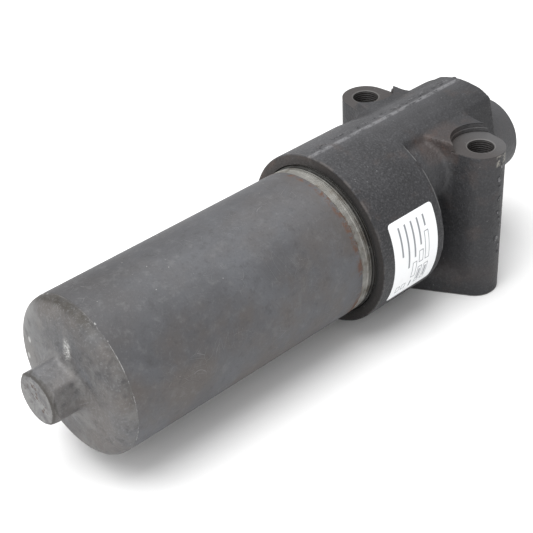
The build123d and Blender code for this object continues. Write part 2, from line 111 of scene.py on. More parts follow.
# Colours that no setting changes
TONES = {
    "bare_edge": (0.34, 0.32, 0.28),
    "bore": (0.022, 0.018, 0.016),
    "bowl_speck": (0.40, 0.40, 0.39),
    "chip": (0.45, 0.45, 0.44),
    # Painted shade on the front ring's inner edge by the gap.
    "gap": (0.004, 0.004, 0.004),
    # Painted shade: the dark line on the bowl's band in the gap.
    "band_gap_shade": (0.008, 0.008, 0.008),
    "lip": (0.17, 0.165, 0.16),
    "machined": (0.21, 0.21, 0.205),
    "pale": (0.30, 0.30, 0.30),
    "pale_skin": (0.24, 0.24, 0.25),
    "parting": (0.19, 0.19, 0.19),
    "pit_rust": (0.060, 0.034, 0.024),
    "proud": (0.27, 0.27, 0.28),
    "rim_wear": (0.50, 0.50, 0.50),
    "scuff": (0.64, 0.64, 0.62),
}


# Mesh work, as by hand


def deselect():
    """Leaves edit mode and deselects everything."""
    if bpy.context.object and bpy.context.object.mode != "OBJECT":
        bpy.ops.object.mode_set(mode="OBJECT")
    bpy.ops.object.select_all(action="DESELECT")


def pick(*pieces):
    """Selects only these pieces, with the last one active."""
    deselect()
    for piece in pieces:
        piece.select_set(True)
        bpy.context.view_layer.objects.active = piece


def edit_all():
    """Enters edit mode with everything selected."""
    bpy.ops.object.mode_set(mode="EDIT")
    bpy.ops.mesh.select_all(action="SELECT")


def settle(piece):
    """Puts the piece's place, turn and scale into its mesh."""
    pick(piece)
    bpy.ops.object.transform_apply(location=True, rotation=True, scale=True)
    return piece


def named(name):
    """Names the object that an operator has just added, and settles it."""
    piece = bpy.context.object
    piece.name = name
    piece.data.name = name
    return settle(piece)


def metres(*values):
    """A vector in metres from lengths in millimetres."""
    return Vector(values) * MM


def rod(name, radius, start, end, steps=128):
    """A round bar between two points, all in millimetres."""
    start, end = metres(*start), metres(*end)
    deselect()
    bpy.ops.mesh.primitive_cylinder_add(
        vertices=steps,
        radius=radius * MM,
        depth=(end - start).length,
        location=(start + end) / 2,
        rotation=(end - start).to_track_quat("Z", "Y").to_euler(),
    )
    return named(name)


def trace(name, outline, height):
    """Draws (place along X, radius) points as a chain of edges over an axis this high.

    Everything stays selected in edit mode.
    """
    points = [metres(x, 0, height + radius) for x, radius in outline]
    deselect()
    bpy.ops.mesh.primitive_plane_add(size=MM, location=points[0])
    piece = named(name)
    edit_all()
    bpy.ops.mesh.merge(type="CENTER")
    for before, after in zip(points, points[1:]):
        bpy.ops.mesh.extrude_region_move(TRANSFORM_OT_translate={"value": after - before})
    bpy.ops.mesh.select_all(action="SELECT")
    return piece


def turned(name, outline, height=AXIS_Z, steps=192):
    """Spins an outline of (place along X, radius) points in millimetres into a closed piece."""
    piece = trace(name, outline, height)
    bpy.ops.mesh.spin(
        steps=steps, angle=math.tau, use_auto_merge=True,
        center=metres(0, 0, height), axis=(1, 0, 0),
    )
    tidy_mesh()
    return piece


def tidy_mesh(distance=1e-6):
    """Welds doubles and points every face of the active piece outwards, and leaves edit mode."""
    edit_all()
    bpy.ops.mesh.remove_doubles(threshold=distance)
    bpy.ops.mesh.normals_make_consistent(inside=False)
    bpy.ops.object.mode_set(mode="OBJECT")


def rounding(centre, radii, start, end, steps):
    """Points of an elliptical arc in an outline, from one angle to another in degrees."""
    angles = [math.radians(start + (end - start) * k / steps) for k in range(steps + 1)]
    return [
        (centre[0] + radii[0] * math.cos(angle), centre[1] + radii[1] * math.sin(angle))
        for angle in angles
    ]


def modify(piece, kind, **settings):
    """Adds a modifier with these settings and applies it."""
    pick(piece)
    modifier = piece.modifiers.new(kind.title(), kind)
    for key, value in settings.items():
        setattr(modifier, key, value)
    bpy.ops.object.modifier_apply(modifier=modifier.name)


def carve(piece, tool, operation="DIFFERENCE"):
    """Cuts the tool out of the piece, or joins or meets them, and removes the tool."""
    modify(piece, "BOOLEAN", operation=operation, solver="MANIFOLD", object=tool)
    mesh = tool.data
    bpy.data.objects.remove(tool)
    bpy.data.meshes.remove(mesh)
    return piece


def join(name, *pieces):
    """Joins pieces into one, which takes the name."""
    pick(*pieces)
    bpy.ops.object.join()
    return named(name)


def smooth(piece, angle):
    """Smooth shading up to an angle between faces."""
    pick(piece)
    bpy.ops.object.shade_smooth_by_angle(angle=math.radians(angle))


def column_outline(front, back, low, high):
    """The solid drawn tightly round both bolt columns and a round tip fore and aft."""
    corners = [(x, y, COLUMN_RADIUS) for x, y in BOLT_PLACES]
    corners += [(-front, 0, TIP_RADIUS), (back, 0, TIP_RADIUS)]
    piece = join("stock", *(
        rod("stock", radius, (x, y, low), (x, y, high), 64) for x, y, radius in corners
    ))
    edit_all()
    bpy.ops.mesh.convex_hull()
    bpy.ops.object.mode_set(mode="OBJECT")
    return piece


# Shader maths


class Wire:
    """A socket of a finish. Python's operators on it add Math nodes."""

    def __init__(self, finish, socket):
        self.finish = finish
        self.socket = socket

    def maths(self, operation, *values):
        """A Math node on these values."""
        return self.finish.node(
            "ShaderNodeMath", {"operation": operation}, dict(enumerate(values))
        )

    def __add__(self, other):
        return self.maths("ADD", self, other)

    __radd__ = __add__

    def __sub__(self, other):
        return self.maths("SUBTRACT", self, other)

    def __rsub__(self, other):
        return self.maths("SUBTRACT", other, self)

    def __mul__(self, other):
        return self.maths("MULTIPLY", self, other)

    __rmul__ = __mul__

    def __truediv__(self, other):
        return self.maths("DIVIDE", self, other)

    def __pow__(self, other):
        return self.maths("POWER", self, other)

    def absolute(self):
        """The value without its sign."""
        return self.maths("ABSOLUTE", self)

    def above(self, low, high):
        """0 below low and 1 above high, with a soft step between them. low may be over high."""
        return self.finish.node(
            "ShaderNodeMapRange",
            {"interpolation_type": "SMOOTHSTEP", "clamp": True},
            {"Value": self, "From Min": low, "From Max": high, "To Min": 0.0, "To Max": 1.0},
        )

    def within(self, low, high, soft):
        """1 between low and high, with edges this soft."""
        return self.above(low - soft, low + soft) * self.above(high + soft, high - soft)


class Finish:
    """A procedural material, built round one Principled shader.

    colours is the group of settings that holds its named colours, and base is the colour
    painted so far.
    """

    def __init__(self, name, colours=None, **constants):
        self.colours = colours
        self.material = bpy.data.materials.new(name)
        self.material.use_nodes = True
        self.tree = self.material.node_tree
        self.shader = self.tree.nodes["Principled BSDF"]
        for key, value in constants.items():
            self.shader.inputs[key.replace("_", " ")].default_value = value
        self.place = self.node("ShaderNodeTexCoord", output="Object")

    def node(self, kind, settings=None, sockets=None, output=0):
        """Adds a node: its settings first, then the values or links of its sockets."""
        made = self.tree.nodes.new(kind)
        for key, value in (settings or {}).items():
            setattr(made, key, value)
        for key, value in (sockets or {}).items():
            if isinstance(value, Wire):
                self.tree.links.new(value.socket, made.inputs[key])
            else:
                made.inputs[key].default_value = value
        return Wire(self, made.outputs[output])

    def noise(self, scale, detail, roughness=0.55, stretch=None, distortion=0.0, seed=0.0):
        """Noise from 0 to 1. scale counts features to a metre; stretch scales the three axes."""
        place = self.place
        if stretch or seed:
            place = self.node(
                "ShaderNodeMapping", {},
                {"Vector": place, "Scale": stretch or (1, 1, 1), "Location": (seed, seed, -seed)},
            )
        return self.node(
            "ShaderNodeTexNoise", {},
            {
                "Vector": place, "Scale": scale, "Detail": detail,
                "Roughness": roughness, "Distortion": distortion,
            },
        )

    def cells(self, scale, seed):
        """Distance to the nearest of many scattered points, scale of them to a metre."""
        place = self.node(
            "ShaderNodeMapping", {}, {"Vector": self.place, "Location": (seed, -seed, seed)}
        )
        return self.node(
            "ShaderNodeTexVoronoi", {}, {"Vector": place, "Scale": scale}, output="Distance",
        )

    def part(self, vector, axis):
        """One part of a vector, by its letter."""
        return self.node("ShaderNodeSeparateXYZ", {}, {"Vector": vector}, output=axis)

    def facing_up(self):
        """How far the surface faces up: 1 on a level top."""
        return self.part(self.node("ShaderNodeTexCoord", output="Normal"), "Z")

    def measure(self):
        """Takes the point's place and its distance from the filter's axis, in millimetres."""
        self.x, self.y, self.z = (self.part(self.place, axis) / MM for axis in "XYZ")
        self.radial = (self.y * self.y + (self.z - AXIS_Z) ** 2.0) ** 0.5

    def tone(self, colour):
        """What a colour socket takes for a wire, three numbers or a colour's name."""
        if isinstance(colour, Wire):
            return colour
        if isinstance(colour, str):
            colour = TONES[colour] if colour in TONES else getattr(self.colours, colour)
        return (*colour, 1.0)

    def blend(self, factor, first, second):
        """One colour turning into another as the factor goes from 0 to 1."""
        return self.node(
            "ShaderNodeMix", {"data_type": "RGBA"},
            {0: factor, 6: self.tone(first), 7: self.tone(second)}, output=2,
        )

    def paint(self, amount, colour):
        """Turns the base colour into this one, by an amount that goes from 0 to 1."""
        self.base = self.blend(amount, self.base, colour)

    def feed(self, socket, value):
        """Links a value that varies over the surface to one of the shader's sockets."""
        self.tree.links.new(value.socket, self.shader.inputs[socket])

    def bump(self, height, distance, strength):
        """A bump whose height of 1 stands this many metres proud."""
        normal = self.node(
            "ShaderNodeBump", {},
            {"Height": height, "Distance": distance, "Strength": strength},
        )
        self.feed("Normal", normal)


def dress(piece, finish):
    """Gives the piece this finish alone."""
    piece.data.materials.clear()
    piece.data.materials.append(finish.material)


def show(piece, body, slot, *nodes):
    """Lets the piece ride on its body and hides the nodes it stands for. The slot argument is not
    used.
    """
    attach(piece, body)
    if nodes:
        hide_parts(*nodes)


# Finishes


def cast_finish(colours):
    """Dark rough cast skin, with machined seats, brown stains and pale specks."""
    f = Finish("cast_head", colours, Specular_IOR_Level=0.42)
    f.measure()
    bolt = (f.x * f.x + (f.y.absolute() - BOLT_SIDE) ** 2.0) ** 0.5
    skin = f.noise(480, 3.0, 0.6)
    grain = f.noise(820, 2.0, 0.6)
    lumps = f.noise(190, 3.0, 0.6, seed=2.0)
    crest = paint_skin(f, grain)
    paint_stains(f, bolt)
    paint_edges(f, bolt)
    paint_marks(f)
    seats = paint_seats(f, bolt)
    annulus = paint_front(f)
    specks = 1.0 - f.cells(210, 0.4).above(0.04, 0.10)
    specks = specks * f.noise(45, 2.0, seed=7.0).above(0.50, 0.60)
    f.paint(specks * 0.32, "pale")
    machined = f.z.above(0.6, 0.2)
    f.paint(machined * 0.9, "machined")
    f.feed("Base Color", f.base)
    f.feed("Roughness", 0.50 + skin * 0.20 - crest * 0.05 - machined * 0.2 + annulus * 0.15)
    bored = f.radial.above(50.8, 50.2) * f.x.above(-37.5, -38.5)
    raw = (1.0 - bored) * (1.0 - machined) * (1.0 - seats * 0.7)
    f.bump((skin * 0.8 + grain * 0.35 + lumps * 1.1) * (0.15 + raw * 0.85), 0.0007, 0.75)
    return f


def paint_skin(f, grain):
    """Paints the grain, and the crest and level tops lighter, partly as dust and wear and partly
    as painted highlight from the light above, and returns the crest's mask.
    """
    patches = f.noise(38, 4.0, 0.6)
    f.base = f.blend(patches.above(0.3, 0.75), "cast_dark", "cast_light")
    coarse = 0.6 + f.x.above(-15, -60) * 0.4
    f.paint(grain.above(0.52, 0.69) * coarse * 0.45, "fleck_and_highlight")
    f.paint(grain.above(0.48, 0.32) * coarse * 0.75, "cast_pit")
    webs = f.y.absolute().above(16, 22) * f.x.above(-36, -30)
    # The crest strip and the level tops are painted lighter: partly dust and wear, partly painted
    # highlight where the light above falls.
    crest = f.y.above(-6, 6) * f.z.above(96, WEB_TOP) * f.x.above(56, 44) * (1.0 - webs)
    dust_and_highlight = f.facing_up().above(0.72, 1.0) * f.z.above(90, WEB_TOP) * (1.0 - webs * 0.6)
    dust_and_highlight = dust_and_highlight * (0.55 + patches.above(0.35, 0.65) * 0.45)
    f.paint(dust_and_highlight * 0.07 + crest * 0.14, "crest_wear_and_highlight")
    ridge = f.y.within(3.4, 6.8, 0.8) * f.z.above(112, 114) * f.x.above(50, 44)
    f.paint(ridge * f.noise(150, 4.0, 0.7, seed=6.3).above(0.40, 0.58) * 0.42, "pale_skin")
    return crest


def paint_stains(f, bolt):
    """Paints the brown stains and the rusty creases by the web, and paints highlight on the bulge
    behind the barrel and on the rear boss.
    """
    stains = f.noise(60, 5.0, 0.65, seed=3.1).above(0.54, 0.70)
    valley = f.z.within(98.5, 112.5, 2) * f.y.above(-16, -22) * f.x.within(-32, 2, 4)
    valley = valley * bolt.above(16.8, 18.2)
    foot = f.z.within(12, 24, 6) * f.radial.above(46, 52) * f.x.above(-36, -30)
    f.paint(stains * 0.22 + valley * 0.38 + foot * 0.14, "cast_brown")
    creases = valley * bolt.above(19.5, 21.5)
    creases = creases * f.noise(120, 4.0, 0.7, seed=5.5).above(0.50, 0.64)
    f.paint(creases * 0.13, "rust")
    # Painted highlight: the bulge behind the barrel is made lighter, as if lit.
    bulge_highlight = f.x.within(-40, -17, 3) * f.y.above(-22, -28) * f.z.within(70, 103, 4)
    f.paint(bulge_highlight * bolt.above(18, 20) * 0.4, "fleck_and_highlight")
    # Painted highlight: the rear boss is made lighter, as if lit from above.
    f.paint(f.x.above(46.5, 49) * 0.62, "fleck_and_highlight")


def paint_edges(f, bolt):
    """Paints the barrel's parting edge and the bright wear down the right column."""
    parting = f.x.within(-43.1, -41.3, 0.4) * f.radial.within(56.2, 59, 0.6)
    parting = parting * f.noise(110, 3.0, 0.6, seed=4.0).above(0.42, 0.60) * f.y.above(-18, -26)
    f.paint(parting * 0.7, "parting")
    edge = f.x.within(-3, 7, 1) * f.y.above(-59.5, -61) * f.z.within(97.8, 105.6, 0.8)
    f.paint(edge * f.noise(260, 4.0, 0.7, seed=9.5).above(0.47, 0.58) * 0.6, "bare_edge")
    proud = bolt.above(COLUMN_RADIUS + 0.05, COLUMN_RADIUS + 0.3)
    proud = proud * f.y.above(-60, -60.6) * f.z.within(28, 100, 1)
    f.paint(proud * f.noise(330, 3.0, 0.7, seed=2.9).above(0.44, 0.60) * 0.6, "proud")


def paint_marks(f):
    """Paints a strip of wear and pits beside the parting seam."""
    marks = f.y.within(8, 13, 1.2) * f.z.above(112, 114) * f.x.above(50, 44)
    marks = marks * f.noise(48, 2.0, 0.5, seed=11.0).above(0.40, 0.56)
    worn = f.noise(250, 3.0, 0.7, seed=13.0)
    f.paint(marks * worn.above(0.54, 0.64) * 0.32, "pale_skin")
    f.paint(marks * worn.above(0.46, 0.36) * 0.75, "cast_pit")


def paint_seats(f, bolt):
    """Paints the spotfaces, their walls and the bolt holes, and returns the spotfaces' mask."""
    seats = f.z.within(105.6, 106.5, 0.3) * bolt.above(20.5, 20)
    wall = bolt.within(18, 20.4, 0.3) * f.z.within(106.6, 111.5, 0.3)
    tone = f.blend(f.x.above(-10, 14) * f.y.above(0, -10), "seat_brown", "seat_grey")
    f.paint(seats * 0.75 + wall * 0.4, tone)
    f.paint(bolt.within(8.6, 9.4, 0.2) * f.z.above(105.2, 105.6) * 0.4, "lip")
    f.paint(bolt.above(9.2, 8.9) * f.z.above(105.6, 105.2) * 0.7, "bore")
    return seats


def paint_front(f):
    """Paints the barrel's front ring, with painted shade towards the label and on its inner edge
    by the gap, and returns its mask.
    """
    annulus = f.x.above(-96.9, -97.3) * f.radial.within(49.5, 57.2, 0.2)
    f.paint(annulus * 0.85, "front_dark")
    shaded = f.y.above(20, -22)
    browned = f.noise(90, 3.0, 0.6, seed=8.0).above(0.4, 0.7)
    browned = browned * f.radial.above(52.5, 56.5) * (1.0 - shaded * 0.7)
    f.paint(annulus * browned * 0.6, "cast_brown")
    # Painted shade: the ring darkens towards the label and towards its inner edge, where shade
    # falls into the gap.
    inward = f.radial.above(54.5, 51.2) * 0.35 + 0.55
    f.paint(annulus * shaded * inward, "gap")
    rim = f.radial.within(57.1, 58.5, 0.4) * f.x.above(-95.5, -96.8)
    f.paint(rim * f.noise(140, 3.0, 0.6, seed=1.7).above(0.40, 0.62) * 0.42, "rim")
    return annulus


def bowl_finish(colours):
    """Phosphated steel with a bright turned band, rust at its border, wear and scratches."""
    f = Finish("bowl_steel", colours, Specular_IOR_Level=0.45)
    f.measure()
    clouds = f.noise(17, 4.0, 0.62, distortion=0.5)
    mottle = f.noise(150, 4.0, 0.65, seed=1.1)
    fine = f.noise(700, 3.0, 0.65)
    end = f.x.above(-282.9, -283.3)
    paint_steel(f, clouds, mottle, fine)
    crown = paint_end(f, end, mottle, fine)
    band, border = paint_band(f)
    wear = paint_wear(f, end)
    scratch = scratches(f)
    f.paint(scratch * 0.35, "pale")
    specks = 1.0 - f.cells(150, 1.4).above(0.03, 0.075)
    f.paint(specks * f.noise(34, 2.0, seed=8.0).above(0.50, 0.58) * 0.55, "bowl_speck")
    pits = paint_hexagon(f, mottle, fine)
    f.feed("Base Color", f.base)
    f.feed("Metallic", 0.30 + band * 0.4 + wear * 0.4)
    f.feed("Roughness", 0.46 + clouds * 0.14 + fine * 0.10 - band * 0.10 + border * 0.3)
    lines = f.noise(1, 2.0, 0.5, stretch=(5200, 3, 3))
    rough_end = end * f.noise(330, 4.0, 0.65)
    f.bump(
        fine * 0.5 + mottle * 0.9 + band * lines * 0.5 + rough_end * 1.2
        - pits * 2.0 - scratch * 0.6 - crown * 0.5,
        0.00022, 0.85,
    )
    return f


def paint_steel(f, clouds, mottle, fine):
    """Paints the wall: bluish on top, browner below, with painted shade on top towards the tip."""
    f.base = f.blend(clouds.above(0.3, 0.7), "bowl_dark", "bowl_light")
    patches = f.noise(26, 4.0, 0.6, seed=4.2).above(0.40, 0.64)
    f.paint(patches * (0.30 + f.z.above(108, 80) * 0.45), "bowl_brown")
    # Painted shade: the top of the wall darkens towards the tip, as the light falls off.
    f.paint(f.x.above(-175, -275) * f.z.above(75, 105) * 0.55, "bowl_pits_and_shade")
    f.paint(mottle.above(0.52, 0.72) * 0.26, "bowl_fleck")
    f.paint(mottle.above(0.46, 0.28) * 0.4, "bowl_pits_and_shade")
    f.paint(fine.above(0.54, 0.74) * 0.24, "bowl_fleck")
    f.paint(fine.above(0.46, 0.28) * 0.30, "bowl_pits_and_shade")


def paint_end(f, end, mottle, fine):
    """Paints the rounded end, with painted highlight on its left side and painted shade on its
    crown, and its scuff, and returns the crown's mask.
    """
    f.paint(end * f.noise(42, 5.0, 0.7, seed=9.0).above(0.46, 0.70) * 0.6, "end_light")
    # Painted highlight: the left side of the end is made lighter, where the light falls.
    left = end * f.y.above(18, 40)
    f.paint(left * 0.6, "end_light")
    browned = end * f.noise(28, 4.0, 0.6, seed=12.0).above(0.40, 0.62)
    f.paint(browned * (0.50 - f.z.above(108, 80) * 0.22), "end_brown")
    f.paint(end * 0.12, "end_light")
    shade = f.noise(34, 5.0, 0.7, seed=21.0).above(0.52, 0.38)
    f.paint(end * shade * (1.0 - left) * 0.32, "bowl_pits_and_shade")
    # Painted shade: a dark zone at the top of the end's rounded edge.
    crown = f.x.within(-289, -283.3, 1.6) * f.z.above(88, 104) * f.y.above(-30, -12)
    crown = crown * (0.6 + f.noise(180, 4.0, 0.7, seed=3.3).above(0.3, 0.6) * 0.4)
    f.paint(crown, "end_dark")
    f.paint(end * fine.above(0.52, 0.68) * 0.5, "bowl_fleck")
    f.paint(end * mottle.above(0.47, 0.32) * 0.42, "bowl_pits_and_shade")
    away = (((f.y + 5) * 1.9) ** 2.0 + (f.z - 86) ** 2.0) ** 0.5
    scuff = end * away.above(9.5, 1) * f.x.above(-290.5, -291.5)
    scuff = scuff * f.noise(1500, 4.0, 0.8).above(0.40, 0.57)
    f.paint(scuff * (0.35 + f.noise(420, 2.0, seed=5.0).above(0.42, 0.58) * 0.65), "scuff")
    return crown


def paint_band(f):
    """Paints the turned band, painted shade in the gap and the rust, and returns two masks."""
    band = f.x.above(-108.9, -108.3)
    dull = f.noise(70, 4.0, 0.6, stretch=(0.3, 1, 1)).above(0.35, 0.7)
    browned = f.noise(60, 4.0, 0.7, seed=15.0).above(0.49, 0.62)
    metal = f.blend(browned * 0.55, f.blend(dull, "band_light", "band_dark"), "band_brown")
    f.paint(band, metal)
    # Painted shade: a dark line on the band where it sits in the gap under the head's front ring.
    f.paint(f.x.within(-99.4, -97.2, 0.3) * 0.85, "band_gap_shade")
    patches = f.noise(80, 5.0, 0.72, seed=5.0)
    f.paint(f.x.within(-119, -108.5, 5) * patches.above(0.42, 0.66) * 0.45, "bowl_brown")
    border = f.x.within(-111.8, -107, 1.4) * patches.above(0.47, 0.57)
    f.paint(border * 0.75, "rust")
    return band, border


def paint_wear(f, end):
    """Paints the bright wear and the chips on the end's edge, and returns the wear's mask."""
    wear = f.x.within(-283.35, -283, 0.1) * (f.z.above(106, 86) * 0.85 + 0.15)
    wear = wear * f.noise(95, 5.0, 0.8, seed=6.0).above(0.47, 0.60)
    f.paint(wear * 0.7, "rim_wear")
    chips = 1.0 - f.cells(150, 2.6).above(0.10, 0.17)
    chips = chips * f.x.within(-284.3, -282.4, 0.4)
    for y, z in NICKS:
        away = ((f.y - y) ** 2.0 + ((f.z - z) * 0.6) ** 2.0) ** 0.5
        chips = chips + end * away.above(1.6, 0.9)
    f.paint(chips * 0.6, "chip")
    return wear


def paint_hexagon(f, mottle, fine):
    """Paints the hexagon, its chamfer, its foot and its pitted face, and returns the pits."""
    side = 1.0 - f.radial.above(20, 21.5)
    hexagon = side * f.x.above(-296.5, -298.5)
    f.paint(hexagon * 0.10, "hexagon")
    chamfered = hexagon * f.x.above(-310.8, -312.5) * f.radial.above(14, 15.2)
    f.paint(chamfered * (0.25 + mottle.above(0.40, 0.60) * 0.5), "end_dark")
    outline = hexagon * f.x.above(-312.8, -313.4) * f.radial.above(14.1, 14.8)
    f.paint(outline * f.radial.above(16.6, 15.6) * 0.6, "end_dark")
    foot = f.x.within(-298.5, -293.5, 1.5) * side * f.z.above(58, 70)
    f.paint(foot * f.noise(140, 4.0, 0.7, seed=4.4).above(0.40, 0.64) * 0.40, "end_light")
    face = f.x.above(-314.05, -314.15)
    light = mottle.above(0.40, 0.62) * (0.40 + fine.above(0.42, 0.62) * 0.6)
    f.paint(face * light, "end_light")
    pits = 1.0 - f.cells(330, 0.2).above(0.30, 0.48)
    pits = pits * f.noise(120, 3.0, 0.7, seed=3.0).above(0.43, 0.51) * f.radial.above(12.2, 9.8)
    f.paint(face * pits * 0.85, "pit_rust")
    return face * pits


def scratches(f):
    """Long fine scratches that lie every way, in patches."""
    place = f.node(
        "ShaderNodeMapping", {},
        {"Vector": f.place, "Rotation": (0.3, 0.5, 0.4), "Scale": (0.6, 3.2, 1.5)},
    )
    bending = f.node(
        "ShaderNodeTexNoise", {}, {"Vector": f.place, "Scale": 14.0, "Detail": 1.0},
        output="Color",
    )
    bent = f.node("ShaderNodeVectorMath", {"operation": "ADD"}, {0: place, 1: bending})
    edges = f.node(
        "ShaderNodeTexVoronoi", {"feature": "DISTANCE_TO_EDGE"},
        {"Vector": bent, "Scale": 22.0}, output="Distance",
    )
    return (1.0 - edges.above(0.0, 0.010)) * f.noise(34, 2.0, seed=2.2).above(0.52, 0.64)


def plain_metal_finish(name, colour, shade, metallic, roughness, lines):
    """Turned or drawn metal with fine lines along its length and soft clouds."""
    f = Finish(name)
    clouds = f.noise(60, 3.0, 0.6)
    fine = f.noise(1, 2.0, 0.5, stretch=(lines, 6, 6))
    f.feed("Base Color", f.blend(clouds.above(0.3, 0.7), colour, shade))
    f.feed("Roughness", roughness + clouds * 0.15)
    f.shader.inputs["Metallic"].default_value = metallic
    f.bump(fine, 0.00006, 0.6)
    return f


def rubber_finish():
    """Black seal rubber with a faint bloom."""
    f = Finish("seal_rubber", Specular_IOR_Level=0.4)
    bloom = f.noise(300, 3.0, 0.6)
    colour = f.blend(bloom.above(0.4, 0.8), (0.012, 0.012, 0.012), (0.04, 0.04, 0.038))
    f.feed("Base Color", colour)
    f.feed("Roughness", 0.5 + bloom * 0.2)
    f.bump(f.noise(2200, 2.0), 0.00003, 0.6)
    return f


def ring_finish():
    """Off-white backup ring plastic."""
    f = Finish("ring_plastic")
    tone = f.noise(240, 3.0)
    f.feed("Base Color", f.blend(tone, (0.78, 0.76, 0.70), (0.66, 0.64, 0.58)))
    f.feed("Roughness", 0.42 + tone * 0.15)
    f.bump(tone, 0.00004, 0.5)
    return f


def media_finish():
    """Off-white pleated filter fibre."""
    f = Finish("filter_media", Specular_IOR_Level=0.2)
    fibre = f.noise(1400, 5.0, 0.7, distortion=1.2)
    colour = f.blend(fibre.above(0.3, 0.7), (0.80, 0.76, 0.66), (0.66, 0.61, 0.50))
    f.feed("Base Color", colour)
    f.feed("Roughness", 0.85 + fibre * 0.1)
    f.bump(fibre, 0.0001, 0.8)
    return f


def label_finish():
    """White paper with thin grey boxes and dashed rules."""
    f = Finish("label_paper", Specular_IOR_Level=0.35)
    uv = f.node("ShaderNodeTexCoord", output="UV")
    down, along = f.part(uv, "X"), f.part(uv, "Y")
    ink = 0.0
    boxes = (
        (0.26, 0.60, 0.70, 0.80), (0.45, 0.60, 0.56, 0.66), (0.56, 0.77, 0.42, 0.52),
        (0.66, 0.90, 0.70, 0.80), (0.66, 0.90, 0.56, 0.66), (0.81, 0.90, 0.12, 0.21),
        (0.81, 0.90, 0.25, 0.34),
    )
    for low_u, high_u, low_v, high_v in boxes:
        outer = down.within(low_u, high_u, 0.003) * along.within(low_v, high_v, 0.004)
        inner = down.within(low_u + 0.010, high_u - 0.010, 0.003)
        inner = inner * along.within(low_v + 0.014, high_v - 0.014, 0.004)
        ink = outer * (1.0 - inner) + ink
    rules = (
        (0.08, 0.21, 0.75), (0.08, 0.39, 0.61), (0.08, 0.50, 0.47), (0.08, 0.60, 0.33),
        (0.08, 0.42, 0.19), (0.82, 0.92, 0.46), (0.70, 0.86, 0.75), (0.70, 0.86, 0.61),
    )
    dashes = (down * 88.0).maths("SINE").above(-0.55, -0.15)
    for low_u, high_u, v in rules:
        rule = down.within(low_u, high_u, 0.003) * along.within(v - 0.018, v + 0.018, 0.005)
        ink = rule * dashes + ink
    soil = f.noise(90, 4.0, 0.6).above(0.5, 0.8)
    colour = f.blend(soil * 0.25, (0.86, 0.87, 0.88), (0.62, 0.62, 0.60))
    colour = f.blend(ink.above(0.2, 0.8) * 0.85, colour, (0.12, 0.13, 0.15))
    f.feed("Base Color", colour)
    f.feed("Roughness", 0.42 + soil * 0.2)
    f.bump(f.noise(1800, 2.0), 0.00002, 0.5)
    return f


def floor_finish(settings):
    """A plain pale floor, a little uneven in sheen."""
    f = Finish("studio_floor", settings, Specular_IOR_Level=0.2)
    tone = f.noise(3, 2.0)
    duller = tuple(0.97 * part for part in settings.floor_colour)
    f.feed("Base Color", f.blend(tone * 0.3, "floor_colour", duller))
    f.feed("Roughness", 0.8 + tone * 0.1)
    return f


# Sizes and colours


def tint(name, description, default):
    """A colour among the settings."""
    return FloatVectorProperty(
        name=name, description=description, default=default,
        subtype="COLOR", size=3, min=0.0, max=1.0,
    )


class FilterHeadSettings(bpy.types.PropertyGroup):
    """Sizes and colours of the cast head."""

    voxel: FloatProperty(
        name="Casting grain", description="Size of the faces that the casting is blended from",
        default=0.0013, min=0.0008, max=0.005, subtype="DISTANCE", unit="LENGTH",
    )
    blend_steps: IntProperty(
        name="Blending", description="How often the casting's inner corners are smoothed",
        default=14, min=0, max=60,
    )
    seam_height: FloatProperty(
        name="Parting seam", description="How far the mould's parting seam stands proud",
        default=0.0007, min=0.0, max=0.003, subtype="DISTANCE", unit="LENGTH",
    )
    cast_light: tint("Cast skin", "Lighter tone of the cast skin", (0.031, 0.031, 0.034))
    cast_dark: tint("Cast skin shade", "Darker tone of the skin", (0.020, 0.020, 0.022))
    # Flecks, and also the tone of the painted highlight on the bulge and the rear boss.
    fleck_and_highlight: tint("Flecks", "Light flecks in the grain", (0.085, 0.085, 0.089))
    cast_pit: tint("Pits", "Dark pits in the grain", (0.012, 0.012, 0.013))
    # Crest tone: partly a worn strip, partly painted highlight on the tops.
    crest_wear_and_highlight: tint("Crest", "Worn strip along the top", (0.165, 0.165, 0.174))
    cast_brown: tint("Stain", "Faint brown of the stains", (0.072, 0.050, 0.042))
    seat_brown: tint("Seats", "Brownish machined seats", (0.050, 0.044, 0.042))
    seat_grey: tint("Seat wear", "Cleaner part of the seats", (0.088, 0.086, 0.087))
    front_dark: tint("Front face", "Dark front ring", (0.042, 0.037, 0.035))
    rim: tint("Rim", "Worn rim of the front ring", (0.115, 0.102, 0.095))
    rust: tint("Rust", "Rust in the creases", (0.130, 0.058, 0.032))


class FilterBowlSettings(bpy.types.PropertyGroup):
    """Sizes and colours of the bowl."""

    steps: IntProperty(
        name="Turning steps", description="Faces round the bowl", default=224, min=48, max=512,
    )
    bowl_light: tint("Steel", "Lighter tone of the steel", (0.105, 0.108, 0.117))
    bowl_dark: tint("Steel shade", "Darker tone of the steel", (0.077, 0.077, 0.082))
    bowl_brown: tint("Steel tint", "Brownish tint", (0.098, 0.086, 0.079))
    bowl_fleck: tint("Flecks", "Light flecks", (0.170, 0.170, 0.172))
    # Pits, and also the painted shade on the bowl's top towards the tip.
    bowl_pits_and_shade: tint("Pits", "Dark pits", (0.048, 0.047, 0.049))
    hexagon: tint("Hexagon", "Bluish grey of the hexagon", (0.135, 0.137, 0.146))
    end_light: tint("End", "Lighter patches of the end", (0.205, 0.205, 0.200))
    end_brown: tint("End tint", "Brown patches of the end", (0.112, 0.094, 0.082))
    # Also the tone of the painted shade on the end's crown.
    end_dark: tint("End crown", "Dark zone at the top of the end", (0.040, 0.036, 0.031))
    band_light: tint("Band", "Bright turned band", (0.325, 0.320, 0.300))
    band_dark: tint("Band shade", "Duller patches of the band", (0.190, 0.185, 0.172))
    band_brown: tint("Band stain", "Brown stains on the band", (0.110, 0.088, 0.066))
    rust: tint("Rust", "Rust at the band's border", (0.125, 0.062, 0.038))


